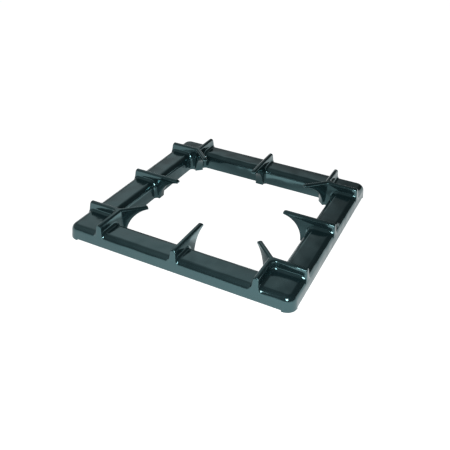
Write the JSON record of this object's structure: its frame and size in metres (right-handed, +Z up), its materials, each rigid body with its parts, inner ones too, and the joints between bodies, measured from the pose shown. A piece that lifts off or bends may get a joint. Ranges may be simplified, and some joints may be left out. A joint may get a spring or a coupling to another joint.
{
  "type": "hob pan support",
  "caption": "Square cast-iron pan support for a gas hob: a rounded frame with a skirt around a burner opening, raised middle fingers and forked corner fingers, glossy dark enamel.",
  "frame": {"origin": "middle of the burner opening, on the plane that the casting stands on", "axes": "+Z up towards the pan, X and Y along the sides of the square frame"},
  "size_m": [0.35, 0.35, 0.0405],
  "materials": {
    "enamelled_cast_iron": "gloss vitreous enamel, dark grey-green"
  },
  "bodies": {
    "root": {"pan_support": "enamelled_cast_iron"}
  },
  "joints": []
}
